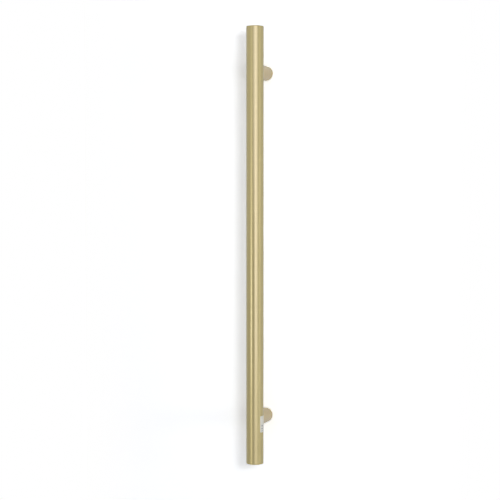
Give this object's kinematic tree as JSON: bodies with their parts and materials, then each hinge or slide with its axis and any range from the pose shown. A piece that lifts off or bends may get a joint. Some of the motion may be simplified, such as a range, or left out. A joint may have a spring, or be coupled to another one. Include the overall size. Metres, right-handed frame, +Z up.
{
  "type": "towel warmer rack",
  "caption": "Upright round towel warmer bar on short round posts that slide over wall spigots and are locked by set screws, with a heating cable loop inside.",
  "frame": {"origin": "on the wall plane, in the middle of the rectangle of fixing holes", "axes": "+Z up along the bar, +Y into the wall, +X to the right seen from the room"},
  "size_m": [0.0381, 0.095, 0.95],
  "materials": {
    "satin_brass": "brushed along the bar, satin",
    "machined_brass": "turned, bare",
    "tab_brass": "stamped strip",
    "screw_steel": "bright zinc plated",
    "tinned_crimp": "tinned",
    "black_rubber": "moulded, matt",
    "cable_silicone": "extruded silicone, satin",
    "holder_silicone": "moulded silicone, matt",
    "sleeve_black": "heat-shrunk",
    "cutout_case": "moulded case",
    "live_brown": "extruded silicone",
    "neutral_blue": "extruded silicone",
    "earth_green": "extruded silicone with a yellow stripe",
    "terminal_white": "moulded nylon",
    "label_film": "printed film, satin"
  },
  "bodies": {
    "wall_mounts": {"upper_wall_spigot": "machined_brass", "lower_wall_spigot": "machined_brass", "cable_grommet": "black_rubber"},
    "rail": {"bar_tube": "satin_brass", "top_cap": "satin_brass", "bottom_cap": "satin_brass", "upper_post": "satin_brass", "lower_post": "satin_brass", "upper_post_collar": "machined_brass", "lower_post_collar": "machined_brass", "heating_cable": "cable_silicone", "cable_spacers": "holder_silicone", "loop_saddle": "holder_silicone", "lead_bush": "holder_silicone", "cable_crimps": "tinned_crimp", "heat_shrink_sleeves": "sleeve_black", "thermal_cutout": "cutout_case", "live_jumper": "live_brown", "live_lead": "live_brown", "neutral_lead": "neutral_blue", "terminal_block": "terminal_white", "terminal_inserts": "machined_brass", "terminal_screws": "screw_steel", "earth_tab": "tab_brass", "earth_connector": "tinned_crimp", "earth_lead": "earth_green", "rating_label": "label_film"},
    "upper_screw": {"upper_set_screw": "screw_steel"},
    "lower_screw": {"lower_set_screw": "screw_steel"}
  },
  "joints": [
    {"name": "rail_pull_off", "type": "slide", "parent": "wall_mounts", "child": "rail", "axis": [0, -1, 0], "range_m": [0, 0.02]},
    {"name": "upper_screw_travel", "type": "slide", "parent": "rail", "child": "upper_screw", "axis": [0, 0, -1], "range_m": [0, 0.003]},
    {"name": "lower_screw_travel", "type": "slide", "parent": "rail", "child": "lower_screw", "axis": [0, 0, -1], "range_m": [0, 0.003]}
  ]
}
